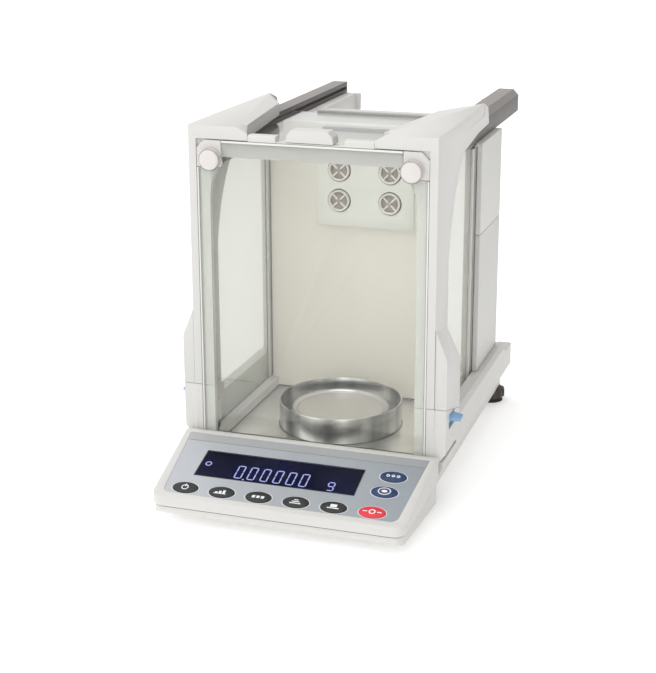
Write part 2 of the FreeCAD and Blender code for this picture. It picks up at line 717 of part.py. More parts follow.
# ---- display unit ------------------------------------------------------------
def display_plan(inset, z0, z1):
    """Plan of the display unit: wider at the rear, rounded at the front corners."""
    slope = (DISPLAY_REAR_HALF - DISPLAY_FRONT_HALF) / 89.5
    front = DISPLAY_FRONT + inset
    rear = DISPLAY_REAR - inset
    front_half = DISPLAY_FRONT_HALF - inset
    rear_half = front_half + slope * (rear - front)
    outline = [(-front_half, front), (front_half, front), (rear_half, rear), (-rear_half, rear)]
    plan = prism_z(outline, z0, z1)
    plan = fillet_upright(plan, 10 - inset, [(-front_half, front), (front_half, front)])
    return fillet_upright(plan, 4, [(-rear_half, rear), (rear_half, rear)]) if inset < 2 else plan


def on_face(shape):
    """Place a shape drawn flat (x, v up the slope, height over the face) on the sloped face."""
    placed = shape.copy()
    placed.Placement = Placement(
        Vector(0, FACE_ORIGIN_Y, FACE_ORIGIN_Z),
        Rotation(Vector(1, 0, 0), math.degrees(FACE_SLOPE)),
    )
    return placed


def face_height(y):
    """Height of the sloped face at a distance from the front."""
    return FACE_ORIGIN_Z + math.tan(FACE_SLOPE) * (y - FACE_ORIGIN_Y)


def oval(x, v, semi_x, semi_v, low, high):
    """Upright oval rod on the flat face drawing."""
    curve = Part.Ellipse(Vector(x, v, low), semi_x, semi_v)
    return Part.Face(Part.Wire(curve.toShape())).extrude(Vector(0, 0, high - low))


def panel_outline(inset, low, high):
    """Tapered panel with rounded front corners, drawn flat."""
    front_half = 103 - inset
    rear_half = 110 - inset
    outline = [
        (-front_half, 4.2 + inset), (front_half, 4.2 + inset),
        (rear_half, 87.2 - inset), (-rear_half, 87.2 - inset),
    ]
    return fillet_upright(prism_z(outline, low, high), 7, outline[:2])


def display_tray():
    """Lower shell of the display unit."""
    profile = [(-94.5, DISPLAY_BOTTOM), (-97.3, 12.5), (-97.3, 17.3), (-2, 29.6), (-2, 12), (-6, DISPLAY_BOTTOM)]
    shell = prism_x(profile, -130, 130).common(display_plan(1.2, 0, 60))
    inside = prism_x([(-94.5, 12), (-94.5, 60), (-4.5, 60), (-4.5, 12)], -130, 130)
    return shell.cut(inside.common(display_plan(3.7, 0, 80)))


def display_bezel():
    """Upper shell with the recess for the panel and openings for window and keys."""
    profile = [
        (DISPLAY_FRONT, 17.6), (DISPLAY_FRONT, 22.8), (-96.8, face_height(-96.8)), (-9, face_height(-9)),
        (-3, 50.2), (DISPLAY_REAR, 46.5), (DISPLAY_REAR, 30),
    ]
    shell = prism_x(profile, -130, 130).common(display_plan(0, 0, 60))
    drop = 3.2 / math.cos(FACE_SLOPE)
    cavity = [
        (-95.6, 10), (-95.6, face_height(-95.6) - drop), (-8, face_height(-8) - drop), (-4, 46), (-4, 10),
    ]
    shell = shell.cut(prism_x(cavity, -130, 130).common(display_plan(2.9, 0, 80)))
    shell = shell.cut(on_face(panel_outline(-0.1, PANEL_BOTTOM, 5)))
    x0, x1, v0, v1 = WINDOW
    shell = shell.cut(on_face(box(x0, x1, v0, v1, -6, 0)))
    for x, v in KEYS.values():
        shell = shell.cut(on_face(oval(x, v, KEY_SEMI_X + 0.4, KEY_SEMI_V + 0.4, -6, 0)))
    return shell


def display_panel():
    """Printed front panel with openings for the window and the keys."""
    panel = panel_outline(0, PANEL_BOTTOM, PANEL_TOP)
    x0, x1, v0, v1 = WINDOW
    panel = panel.cut(box(x0, x1, v0, v1, -5, 5))
    for x, v in KEYS.values():
        panel = panel.cut(oval(x, v, KEY_SEMI_X + 0.4, KEY_SEMI_V + 0.4, -5, 5))
    return on_face(panel)


def display_window():
    """Dark lens over the readout."""
    x0, x1, v0, v1 = WINDOW
    return on_face(box(x0 + 0.1, x1 - 0.1, v0 + 0.1, v1 - 0.1, -2.6, -0.6))


def display_module():
    """Key board with the readout tube on it."""
    x0, x1, v0, v1 = WINDOW
    board = box(-98, 98, 6, 74, -8.2, -6.6)
    tube = box(x0 + 4, x1 - 4, v0 + 2, v1 - 2, -6.6, -2.8)
    return on_face(joined(board, tube))


def key(x, v):
    """Oval key cap with its plunger."""
    cap = oval(x, v, KEY_SEMI_X, KEY_SEMI_V, -2.4, KEY_RISE)
    return on_face(joined(cap, rod_z(x, v, -5.4, -2, 3)))


# ---- export ------------------------------------------------------------------
def export_base():
    """Base, feet and levers."""
    export("base_tray", base_tray())
    export("base_housing", base_housing())
    export("chamber_floor", chamber_floor())
    export("front_feet", *front_feet())
    export("rear_connectors", *rear_connectors())
    export_pair("corner_block", corner_block())
    export_pair("lock_lever", lock_lever())
    export_pair("foot_pad", foot_pad())
    export_pair("foot_wheel", foot_wheel())
    export_pair("foot_stud", foot_stud())


def export_shield():
    """Draft shield with its doors."""
    export_pair("front_pillar", front_pillar())
    export("front_crossbar", front_crossbar())
    export("front_pane", front_pane())
    export("pane_clamps", pane_clamp(), mirrored(pane_clamp()))
    export_pair("clamp_knob", clamp_knob())
    export_pair("door_rail", door_rail())
    export("rail_end_caps", rail_end_cap(), mirrored(rail_end_cap()))
    export("rail_supports", rail_support(), mirrored(rail_support()))
    export_pair("door_glass", side_door_glass())
    frame = side_door_frame()
    export("door_frame_right", *frame)
    export("door_frame_left", *[mirrored(solid) for solid in frame])
    export("top_door_glass", top_door_glass())
    export("top_door_grip", *top_door_grip())


def export_column():
    """Rear wall, ionizer and column."""
    export("rear_wall", rear_wall())
    export("ionizer_panel", ionizer_panel())
    grilles = [ionizer_grille(side * GRILLE_X, z) for side in (-1, 1) for z in GRILLE_HEIGHTS]
    export("ionizer_grilles", *grilles)
    export("cell_housing", cell_housing())
    lower = rear_cover(LEDGE_TOP + 0.1, COLUMN_SEAM)
    export("rear_covers", lower, mirrored(lower), *rear_covers_upper())
    export("circuit_boards", *ionizer_board(), *main_board())


def export_mechanism():
    """Pan, ring and weigh cell."""
    export("draft_ring", draft_ring())
    export("weighing_pan", weighing_pan())
    export("pan_hanger", pan_hanger())
    export("cell_frame", *cell_frame())
    export("cell_magnet", cell_magnet())
    export("weigh_beam", weigh_beam())
    export("calibration_weight", calibration_weight())
    export("calibration_motor", calibration_motor())
    export("bubble_level", *bubble_level())


def export_display():
    """Display unit with its keys."""
    export("display_tray", display_tray())
    export("display_bezel", display_bezel())
    export("display_panel", display_panel())
    export("display_window", display_window())
    export("display_module", display_module())
    for name, (x, v) in KEYS.items():
        export(name, key(x, v))


export_base()
export_shield()
export_column()
export_mechanism()
export_display()
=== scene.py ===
"""Looks of the analytical balance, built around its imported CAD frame. Metres, +Z up."""
import json
import math

import bmesh
import bpy
import numpy as np
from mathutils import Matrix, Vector


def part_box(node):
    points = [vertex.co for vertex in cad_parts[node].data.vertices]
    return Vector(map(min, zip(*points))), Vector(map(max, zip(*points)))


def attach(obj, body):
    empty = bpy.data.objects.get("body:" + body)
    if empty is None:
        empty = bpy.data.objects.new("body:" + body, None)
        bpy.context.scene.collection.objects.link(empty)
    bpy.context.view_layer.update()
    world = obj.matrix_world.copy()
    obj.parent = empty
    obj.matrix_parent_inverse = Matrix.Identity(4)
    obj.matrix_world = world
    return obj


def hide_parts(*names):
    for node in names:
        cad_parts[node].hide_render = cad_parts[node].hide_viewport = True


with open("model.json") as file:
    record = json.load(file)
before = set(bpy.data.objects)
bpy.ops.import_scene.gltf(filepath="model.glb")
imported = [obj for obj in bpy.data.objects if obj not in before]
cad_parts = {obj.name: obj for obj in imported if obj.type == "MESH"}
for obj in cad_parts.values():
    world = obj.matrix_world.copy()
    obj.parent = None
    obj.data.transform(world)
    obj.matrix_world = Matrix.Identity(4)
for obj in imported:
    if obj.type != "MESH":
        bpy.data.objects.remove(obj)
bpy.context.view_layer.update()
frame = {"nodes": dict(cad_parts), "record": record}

MM = 0.001
TAU = 2.0 * math.pi
SHIELD_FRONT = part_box("front_pillar_right")[0].y
PAN_CENTRE = (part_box("draft_ring")[0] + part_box("draft_ring")[1]) / 2
BODY_OF = {node: body for body, nodes in frame["record"]["behaviour"]["bodies"].items() for node in nodes}

# The keys travel square to the display's face, so their axis gives its slope. Places on the face are
# counted in x across and v up the slope, from the face's origin, which lies on the middle plane.
PRESS_AXIS = next(Vector(joint["axis"]) for joint in frame["record"]["behaviour"]["joints"]
                  if joint["name"] == "key_power_press")
FACE_UP = -PRESS_AXIS.normalized()
FACE_BACK = Vector((0.0, FACE_UP.z, -FACE_UP.y))
FACE_ORIGIN = Vector((0.0, SHIELD_FRONT - 95 * MM, 26.3 * MM))
PANE_SEAT = 103.0                       # half the width of the recess for the front pane, mm
KEY_HALF_WIDTH = 11.4                   # along X, mm
KEY_HALF_LENGTH = 6.9                   # up the slope, mm
MARK_SCALE = 1.25                       # of the signs printed on the keys
OUTLET_RADIUS = 11.0                    # of the ionizer's outlets, mm
SEGMENT_WIDTH = 1.0                     # mm
LIT_RISES = (-0.58, -0.45)              # of a segment's two faces over the display's face, mm
LINE_STRETCH = 60.0                     # length of a drawn line, in widths
SAME_SPOT = 1e-7                        # points this close are one, in metres
CAD_WELD = 1e-6                         # the same for the CAD's triangles
SHARP_ANGLE = math.radians(32)          # edges sharper than this are rounded
LOOKS_ALONG = 0.9                       # cosine above which a face looks along an axis
SIDES = ((-1, "left"), (1, "right"))
BOX_CORNERS = np.array([(0, 0, 0), (1, 0, 0), (1, 1, 0), (0, 1, 0),
                        (0, 0, 1), (1, 0, 1), (1, 1, 1), (0, 1, 1)])
BOX_FACES = [(0, 3, 2, 1), (4, 5, 6, 7), (0, 1, 5, 4), (1, 2, 6, 5), (2, 3, 7, 6), (3, 0, 4, 7)]


# ---- colour and shader nodes ---------------------------------------------------
def linear(hex_colour, alpha=1.0):
    """sRGB hex to a linear colour with alpha."""
    parts = [int(hex_colour[i:i + 2], 16) / 255.0 for i in (1, 3, 5)]
    return [p / 12.92 if p <= 0.04045 else ((p + 0.055) / 1.055) ** 2.4 for p in parts] + [alpha]


def add_node(tree, kind, inputs=None, **settings):
    """One shader node with its settings; inputs maps a socket to a value or to another node's output."""
    node = tree.nodes.new("ShaderNode" + kind)
    for key, value in settings.items():
        setattr(node, key, value)
    for socket, value in (inputs or {}).items():
        if isinstance(value, bpy.types.NodeSocket):
            tree.links.new(value, node.inputs[socket])
        else:
            node.inputs[socket].default_value = value
    return node


def new_finish(name, base, roughness, **sockets):
    """A material with one Principled shader; returns the material, its tree and the shader."""
    material = bpy.data.materials.new(name)
    material.use_nodes = True
    tree = material.node_tree
    shader = tree.nodes["Principled BSDF"]
    shader.inputs["Base Color"].default_value = linear(base)
    shader.inputs["Roughness"].default_value = roughness
    for socket, value in sockets.items():
        shader.inputs[socket.replace("_", " ")].default_value = value
    return material, tree, shader


def object_point(tree, scale=(1, 1, 1)):
    """Object coordinates in metres, stretched."""
    place = add_node(tree, "TexCoord")
    mapping = add_node(tree, "Mapping", {"Vector": place.outputs["Object"], "Scale": scale})
    return mapping.outputs["Vector"]


def varied_colour(tree, shader, first, second, factor):
    """Base colour that drifts between two tones."""
    mix = add_node(tree, "Mix", {"Factor": factor, 6: linear(first), 7: linear(second)}, data_type="RGBA")
    tree.links.new(mix.outputs[2], shader.inputs["Base Color"])


def varied_roughness(tree, shader, factor, least, most):
    """Roughness that drifts between two values."""
    rough = add_node(tree, "MapRange", {"Value": factor, "To Min": least, "To Max": most})
    tree.links.new(rough.outputs["Result"], shader.inputs["Roughness"])


def fine_relief(tree, shader, height, strength, depth):
    """Bumps that follow a pattern, depth in mm."""
    bump = add_node(tree, "Bump", {"Height": height, "Strength": strength, "Distance": depth * MM})
    tree.links.new(bump.outputs["Normal"], shader.inputs["Normal"])


def matt_skin(name, light, shade, roughness=0.42, grain=0.5):
    """Matt moulding or print, also used for painted highlights, light and shadows: a fine grain, grain mm
    across, and a faint drift of tone.
    """
    material, tree, shader = new_finish(name, light, roughness, IOR=1.5)
    point = object_point(tree)
    drift = add_node(tree, "TexNoise", {"Vector": point, "Scale": 14.0, "Detail": 3.0})
    varied_colour(tree, shader, light, shade, drift.outputs["Fac"])
    pits = add_node(tree, "TexNoise", {"Vector": point, "Scale": 1 / (grain * MM), "Detail": 2.0})
    fine_relief(tree, shader, pits.outputs["Fac"], 0.07, 0.05)
    varied_roughness(tree, shader, pits.outputs["Fac"], roughness - 0.05, roughness + 0.07)
    return material


def drawn_metal(name, light, shade, roughness, along, spacing=0.35, metallic=1.0):
    """Metal with fine parallel lines: spacing mm apart across, LINE_STRETCH times that long along an axis."""
    material, tree, shader = new_finish(name, light, roughness, Metallic=metallic)
    scale = [1.0 / (spacing * MM)] * 3
    scale["XYZ".index(along)] /= LINE_STRETCH
    lines = add_node(tree, "TexNoise", {"Vector": object_point(tree, scale), "Scale": 1.0, "Detail": 3.0})
    varied_colour(tree, shader, light, shade, lines.outputs["Fac"])
    varied_roughness(tree, shader, lines.outputs["Fac"], roughness - 0.08, roughness + 0.12)
    fine_relief(tree, shader, lines.outputs["Fac"], 0.12, 0.03)
    return material


def turned_steel(name, light, shade, roughness, spacing=0.4, painted_reflections=False):
    """Turned stainless steel: fine lines round the pan's upright axis, and bands of painted reflection where
    asked.
    """
    material, tree, shader = new_finish(name, light, roughness, Metallic=1.0)
    place = add_node(tree, "TexCoord")
    moved = add_node(tree, "Mapping", {"Vector": place.outputs["Object"], "Location": -PAN_CENTRE})
    apart = add_node(tree, "SeparateXYZ", {"Vector": moved.outputs["Vector"]})
    flat = add_node(tree, "CombineXYZ", {"X": apart.outputs["X"], "Y": apart.outputs["Y"]})
    radius = add_node(tree, "VectorMath", {0: flat.outputs["Vector"]}, operation="LENGTH")
    lines_at = add_node(tree, "CombineXYZ", {"X": radius.outputs["Value"], "Y": apart.outputs["Z"]})
    lines = add_node(tree, "TexNoise", {"Vector": lines_at.outputs["Vector"], "Scale": 1 / (spacing * MM),
                                        "Detail": 2.0})
    tone = lines.outputs["Fac"]
    # Painted reflections: bright and dark upright bands in the base colour, round the pan's axis.
    if painted_reflections:
        outwards = add_node(tree, "VectorMath", {0: flat.outputs["Vector"]}, operation="NORMALIZE")
        reflection_bands = add_node(tree, "TexNoise", {"Vector": outwards.outputs["Vector"], "Scale": 2.1,
                                              "Detail": 1.5})
        sharper = add_node(tree, "MapRange", {"Value": reflection_bands.outputs["Fac"], "From Min": 0.38,
                                              "From Max": 0.64})
        tone = sharper.outputs["Result"]
    varied_colour(tree, shader, light, shade, tone)
    fine_relief(tree, shader, lines.outputs["Fac"], 0.15, 0.02)
    return material


def float_glass(name, tint, passed, clarity=1.0):
    """Float glass that lets the lamps through to light the chamber; below a clarity of one it is hazy."""
    material, tree, shader = new_finish(name, tint, 0.0, IOR=1.5, Transmission_Weight=clarity)
    clear = add_node(tree, "BsdfTransparent", {"Color": linear(passed)})
    rays = add_node(tree, "LightPath")
    shares = {0: rays.outputs["Is Shadow Ray"], 1: shader.outputs[0], 2: clear.outputs[0]}
    mixed = add_node(tree, "MixShader", shares)
    tree.links.new(mixed.outputs[0], tree.nodes["Material Output"].inputs["Surface"])
    return material


def printed_panel(name, light, shade):
    """Polyester front panel in silver grey with painted shade that darkens it to the right, and fine flake
    under a satin film.
    """
    material, tree, shader = new_finish(name, light, 0.38, Metallic=0.25, Coat_Weight=0.15,
                                        Coat_Roughness=0.3)
    flake = add_node(tree, "TexNoise", {"Vector": object_point(tree), "Scale": 1 / (0.6 * MM), "Detail": 2.0})
    apart = add_node(tree, "SeparateXYZ", {"Vector": object_point(tree)})
    # Painted shade: the tone darkens from left to right across X.
    across = add_node(tree, "MapRange", {"Value": apart.outputs["X"], "From Min": -0.08, "From Max": 0.11})
    grain = add_node(tree, "MapRange", {"Value": flake.outputs["Fac"], "To Min": -0.15, "To Max": 0.15})
    tone = add_node(tree, "Math", {0: across.outputs["Result"], 1: grain.outputs["Result"]},
                    operation="ADD", use_clamp=True)
    varied_colour(tree, shader, light, shade, tone.outputs["Value"])
    return material


def smoked_lens(name, edge, centre, glow):
    """Acrylic lens over the readout, coated against glare: blue-black, with the tube's glow behind it."""
    material, tree, shader = new_finish(name, edge, 0.2, IOR=1.49, Specular_IOR_Level=0.08)
    point = object_point(tree, (18, 40, 40))
    cloud = add_node(tree, "TexNoise", {"Vector": point, "Scale": 1.0, "Detail": 1.0})
    varied_colour(tree, shader, edge, centre, cloud.outputs["Fac"])
    lit = add_node(tree, "Mix", {"Factor": cloud.outputs["Fac"], 6: linear("#000004"), 7: linear(glow)},
                   data_type="RGBA")
    tree.links.new(lit.outputs[2], shader.inputs["Emission Color"])
    shader.inputs["Emission Strength"].default_value = 0.8
    return material


def glowing_segment(name, body, hue, strength):
    """Vacuum-fluorescent segment seen through the lens: a dull phosphor that glows lavender blue."""
    material, _, shader = new_finish(name, body, 0.5)
    shader.inputs["Emission Color"].default_value = linear(hue)
    shader.inputs["Emission Strength"].default_value = strength
    return material


def dull_bloom(name, light, shade):
    """Rubber, brush hair or a shadowed seam: dull, with a soft mottled bloom."""
    material, tree, shader = new_finish(name, light, 0.75, IOR=1.52)
    bloom = add_node(tree, "TexNoise", {"Vector": object_point(tree), "Scale": 90.0, "Detail": 4.0})
    varied_colour(tree, shader, light, shade, bloom.outputs["Fac"])
    return material


WHITE_ABS = matt_skin("moulded_abs_warm_white", "#d3d1ce", "#cecdc9")
KNOB_ABS = matt_skin("moulded_abs_knob", "#d9d4d1", "#d4cfcb", 0.35)
TRAY_ABS = matt_skin("moulded_abs_tray", "#dedcd8", "#d6d4d0", 0.5)
WALL_ABS = matt_skin("moulded_abs_wall", "#faf4ea", "#f4eee3", 0.5)
# Painted light: a lighter copy of the white moulding for faces in shade, behind the front pane and beside the
# doors.
PAINTED_LIGHT_ABS = matt_skin("moulded_abs_painted_light", "#e6e7e1", "#dedfd8", 0.5)
PANEL_ABS = matt_skin("moulded_abs_ionizer", "#faf9f1", "#f5f4eb", 0.5)
GRILLE_ABS = matt_skin("moulded_abs_outlet", "#f6f1ea", "#efe9e1", 0.45)
DOOR_ABS = matt_skin("moulded_abs_door_profile", "#cfcdc5", "#c7c5bc", 0.45)
BAR_ABS = matt_skin("moulded_abs_stop_bar", "#b3b2ae", "#a9a8a4", 0.5)
# Painted light: a lighter copy of the door profile's colour for the rear stiles, which sit in shade.
STILE_PAINTED_LIGHT = matt_skin("moulded_abs_rear_stile_painted_light", "#d6d4cf", "#cecbc6", 0.5)
LEVER_ABS = matt_skin("moulded_abs_lever", "#8fb6dc", "#7fa8d0", 0.35)
FOOT_ABS = matt_skin("moulded_abs_thumbwheel", "#454039", "#3b3732", 0.5)
CAP_ABS = matt_skin("moulded_abs_end_cap", "#8d8683", "#827c79", 0.45)
BLACK_ABS = matt_skin("moulded_abs_black", "#1d1d1f", "#161618", 0.4)
# Painted shade: a darker copy of the anodised grey for the rails' upright sides.
RAIL_PAINTED_SHADE = drawn_metal("anodised_aluminium_painted_shade", "#726e6c", "#625e5c", 0.5, "Y", metallic=0.45)
RAIL_METAL = drawn_metal("anodised_aluminium_grey", "#a09b98", "#8f8a87", 0.5, "Y", metallic=0.45)
FLOOR_METAL = drawn_metal("brushed_stainless_floor", "#f7f6f4", "#e6e5e3", 0.34, "Y", 0.5)
CELL_METAL = drawn_metal("milled_aluminium", "#d6d6d6", "#c4c4c4", 0.35, "X")
# Painted reflections: the ring's colour runs in upright bands from near white to dark grey.
RING_METAL = turned_steel("turned_stainless_ring_painted_reflections", "#f4f3f1", "#7c7b79", 0.25, painted_reflections=True)
PAN_METAL = turned_steel("turned_stainless_pan", "#e2e1df", "#cdccca", 0.28)
GLASS = float_glass("float_glass_pane", "#fcfdfb", "#fcfdfb")
DOOR_GLASS = float_glass("float_glass_door", "#eaebe6", "#f9faf7", clarity=0.77)
# Painted highlight: a pale strip where the pane's edges catch the light.
GLASS_EDGE_HIGHLIGHT = matt_skin("glass_edge_painted_highlight", "#e2e4df", "#dadcd7", 0.3)
VIAL_GLASS = float_glass("spirit_vial", "#dff0b0", "#e6f3c4")
# Painted shade: the printed panel and strip darken to the right.
PANEL_PRINT = printed_panel("printed_silver_panel", "#b6babf", "#949ba2")
STRIP_PRINT = printed_panel("printed_silver_strip", "#b1b3b4", "#9ea1a3")
LENS = smoked_lens("smoked_acrylic_lens", "#050609", "#0a0c20", "#14173c")
SEGMENT = glowing_segment("fluorescent_segment", "#3a3f66", "#b4bafa", 0.85)
KEY_BLACK = matt_skin("silicone_key_black", "#1e2122", "#17191a", 0.45)
KEY_RED = matt_skin("silicone_key_red", "#e2303f", "#d62a3a", 0.4)
KEY_NAVY = matt_skin("silicone_key_navy", "#0e3566", "#0b2b57", 0.4)
MARK_WHITE = matt_skin("pad_print_white", "#f2f3f4", "#e9eaeb", 0.5)
COVER_ABS = matt_skin("moulded_abs_rear_cover", "#cfceca", "#cac9c5", 0.45)
VENT_ABS = matt_skin("moulded_abs_vent", "#beb5ac", "#aca39a", 0.6)
# Painted shadow: dark seats in the gaps round the outlets' discs and in the rear vent slots.
GAP_PAINTED_SHADOW = matt_skin("shadowed_seat", "#4b4843", "#3e3b37", 0.7)
OUTLINE_WHITE = matt_skin("pad_print_outline", "#e3e5e8", "#dcdee1", 0.5)
LINE_GREY = matt_skin("pad_print_line", "#8f9295", "#85888b", 0.5)
RUBBER = dull_bloom("vulcanised_rubber", "#2a2927", "#211f1e")
# Grey seals, and also the painted shadow in the draft ring's groove.
GASKET_AND_GROOVE_SHADOW = dull_bloom("grey_gasket_and_groove_shadow", "#77736e", "#6c6864")
# Painted shade: a grey line beside the painted highlight on the pane's edges.
GLASS_EDGE_SHADE = dull_bloom("glass_edge_painted_shade", "#a5a29d", "#9a9792")
SEAM_SHADOW = dull_bloom("seam_shadow", "#7d7b77", "#716f6b")
GASKET_DARK = dull_bloom("dark_gasket", "#464542", "#3c3b39")
BRUSH_GREY = dull_bloom("nylon_brush_seal", "#bdb9b2", "#aca8a1")
BRUSH_DARK = dull_bloom("nylon_brush_dark", "#b1afaa", "#a3a19c")
SCREW_METAL = turned_steel("zinc_plated_screw", "#b9b8b4", "#9c9b98", 0.32)
BOARD = matt_skin("solder_mask_green", "#1d5a3a", "#184f32", 0.35)
IRON = drawn_metal("plated_iron", "#6f7073", "#5f6063", 0.4, "Z")


# ---- making pieces ---------------------------------------------------------------
def link(name, mesh, smooth=True):
    """Object at the origin for a mesh."""
    mesh.polygons.foreach_set("use_smooth", [smooth] * len(mesh.polygons))
    piece = bpy.data.objects.new(name, mesh)
    bpy.context.scene.collection.objects.link(piece)
    return piece


def turn_outwards(mesh, weld=False):
    """Turn a mesh's faces outwards, after merging the points that share a spot where asked."""
    shape = bmesh.new()
    shape.from_mesh(mesh)
    if weld:
        bmesh.ops.remove_doubles(shape, verts=shape.verts, dist=SAME_SPOT)
    bmesh.ops.recalc_face_normals(shape, faces=shape.faces)
    shape.to_mesh(mesh)
    shape.free()


def object_from(name, vertices, faces, smooth=True):
    """Mesh object at the origin from points in metres and index lists."""
    mesh = bpy.data.meshes.new(name)
    mesh.from_pydata(np.asarray(vertices, float).tolist(), [], np.asarray(faces).tolist())
    turn_outwards(mesh, weld=True)
    return link(name, mesh, smooth)


def grid_faces(rows, columns):
    """Quads between neighbouring points of a grid that is open both ways."""
    row, column = np.meshgrid(np.arange(rows - 1), np.arange(columns - 1), indexing="ij")
    corner = (row * columns + column).ravel()
    return np.stack([corner, corner + 1, corner + columns + 1, corner + columns], axis=1)


def lathed(name, profile, centre, axis="Z", turns=96):
    """Surface of revolution: point = centre + radius * (cos a, sin a) across the axis + height along it."""
    radius, height = np.asarray(profile, float).T * MM
    angle = np.linspace(0.0, TAU, turns + 1)
    across = radius[:, None] * np.cos(angle)
    along = np.broadcast_to(height[:, None], across.shape)
    side = radius[:, None] * np.sin(angle)
    order = {"Z": (across, side, along), "Y": (across, along, side), "X": (along, across, side)}[axis]
    points = np.stack(order, axis=-1).reshape(-1, 3) + np.asarray(centre, float)
    return object_from(name, points, grid_faces(len(radius), turns + 1))


def rounded_profile(corners, radii, steps=5):
    """Profile through corners; each but the two ends is rounded by a parabola, a radius to either side."""
    corners = np.asarray(corners, float)
    points = [corners[0]]
    for before, corner, after, radius in zip(corners[:-2], corners[1:-1], corners[2:], radii):
        into = corner + (before - corner) * radius / np.linalg.norm(before - corner)
        away = corner + (after - corner) * radius / np.linalg.norm(after - corner)
        t = np.linspace(0.0, 1.0, steps)[:, None]
        points.extend((1 - t) ** 2 * into + 2 * t * (1 - t) * corner + t ** 2 * away)
    points.append(corners[-1])
    return np.array(points)


def on_face(x, v, rise):
    """Point of the display's face: x across, v up the slope, rise out of it, in mm, as arrays."""
    x, v, rise = np.broadcast_arrays(*(np.asarray(a, float) * MM for a in (x, v, rise)))
    return (np.asarray(FACE_ORIGIN) + x[..., None] * np.array([1.0, 0.0, 0.0])
            + v[..., None] * np.asarray(FACE_BACK) + rise[..., None] * np.asarray(FACE_UP))


def face_plate(name, outline, low, high):
    """Flat plate on the display's face: an outline of (x, v) in mm, closed between two rises."""
    outline = np.asarray(outline, float)
    count = len(outline)
    mesh = bpy.data.meshes.new(name)
    rings = np.concatenate([on_face(outline[:, 0], outline[:, 1], rise) for rise in (low, high)])
    ring = np.arange(count)
    following = (ring + 1) % count
    sides = np.stack([ring, following, following + count, ring + count], axis=1).tolist()
    mesh.from_pydata(rings.tolist(), [], [ring[::-1].tolist(), (ring + count).tolist()] + sides)
    turn_outwards(mesh)
    return link(name, mesh, False)


def face_ring(name, x, v, outer, inner, low, high, stretch=1.0):
    """Round or oval band on the display's face: a square section turned round its middle."""
    profile = np.array([(inner, low), (outer, low), (outer, high), (inner, high), (inner, low)])
    angle = np.linspace(0.0, TAU, 49)
    points = on_face(x + profile[:, :1] * np.cos(angle) * stretch, v + profile[:, :1] * np.sin(angle),
                     np.broadcast_to(profile[:, 1:], (len(profile), len(angle))))
    return object_from(name, points.reshape(-1, 3), grid_faces(len(profile), len(angle)), False)


def block(name, low, high, edge=0.0):
    """Box between two corners in mm, Y counted from the shield's front plane; edge rounds it."""
    front = np.array([0.0, SHIELD_FRONT, 0.0])
    low = np.asarray(low, float) * MM + front
    high = np.asarray(high, float) * MM + front
    piece = object_from(name, np.where(BOX_CORNERS, high, low), BOX_FACES, edge > 0)
    if edge > 0:
        round_edges(piece, edge, 2)
    return piece


def side_block(name, side, across, depth, height):
    """Box on one side of the middle plane, from its (start, end) in mm across, in depth and in height."""
    near, far = sorted(side * value for value in across)
    return block(name, (near, depth[0], height[0]), (far, depth[1], height[1]))


def round_edges(piece, radius, segments=3):
    """Bevel modifier on every sharp edge, radius in mm."""
    bevel = piece.modifiers.new("rounded edges", "BEVEL")
    bevel.width = radius * MM
    bevel.segments = segments
    bevel.limit_method = "ANGLE"
    bevel.angle_limit = SHARP_ANGLE
    bevel.harden_normals = True
    bevel.use_clamp_overlap = True


def wear(piece, material, node=None, body="chassis"):
    """Give a piece its finish, let it ride on a body, and stand for a CAD node where it replaces one."""
    piece.data.materials.clear()
    piece.data.materials.append(material)
    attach(piece, BODY_OF[node] if node else body)
    if node:
        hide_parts(node)
    return piece


def shaped(node, radius, material):
    """The CAD node's triangles merged into clean faces, with sharp edges rounded, standing for the node."""
    shape = bmesh.new()
    shape.from_mesh(frame["nodes"][node].data)
    bmesh.ops.remove_doubles(shape, verts=shape.verts, dist=CAD_WELD)
    bmesh.ops.dissolve_limit(shape, angle_limit=math.radians(0.4), verts=shape.verts, edges=shape.edges)
    mesh = bpy.data.meshes.new("shaped_" + node)
    shape.to_mesh(mesh)
    shape.free()
    piece = link("shaped_" + node, mesh)
    round_edges(piece, radius)
    return wear(piece, material, node=node)


def two_toned(piece, finish, chosen):
    """Give a piece a second finish on the faces that the test picks."""
    piece.data.materials.append(finish)
    for face in piece.data.polygons:
        face.material_index = int(chosen(face))


def behind_pan(face):
    """Faces of the solids that lie behind the pan."""
    return face.center.y > PAN_CENTRE.y


def upright_side(face):
    """Faces that look left or right; on the rails these get painted shade."""
    return abs(face.normal.x) > LOOKS_ALONG


def facing_doors(face):
    """The base's faces that look inwards at the doors from outside, which get painted light."""
    outside = abs(face.center.x) > PANE_SEAT * MM
    return outside and face.normal.x * face.center.x < -LOOKS_ALONG * abs(face.center.x)


def behind_pane(face):
    """The faces of the pillars and corner blocks that the front pane covers, which get painted light."""
    covered = abs(face.center.x) < PANE_SEAT * MM and face.center.y > SHIELD_FRONT + 2 * MM
    return face.normal.y < -LOOKS_ALONG and covered and face.center.z < 290 * MM


def paint(node, material):
    """Keep the CAD node and give it a finish."""
    slots = frame["nodes"][node].data.materials
    slots.clear()
    slots.append(material)


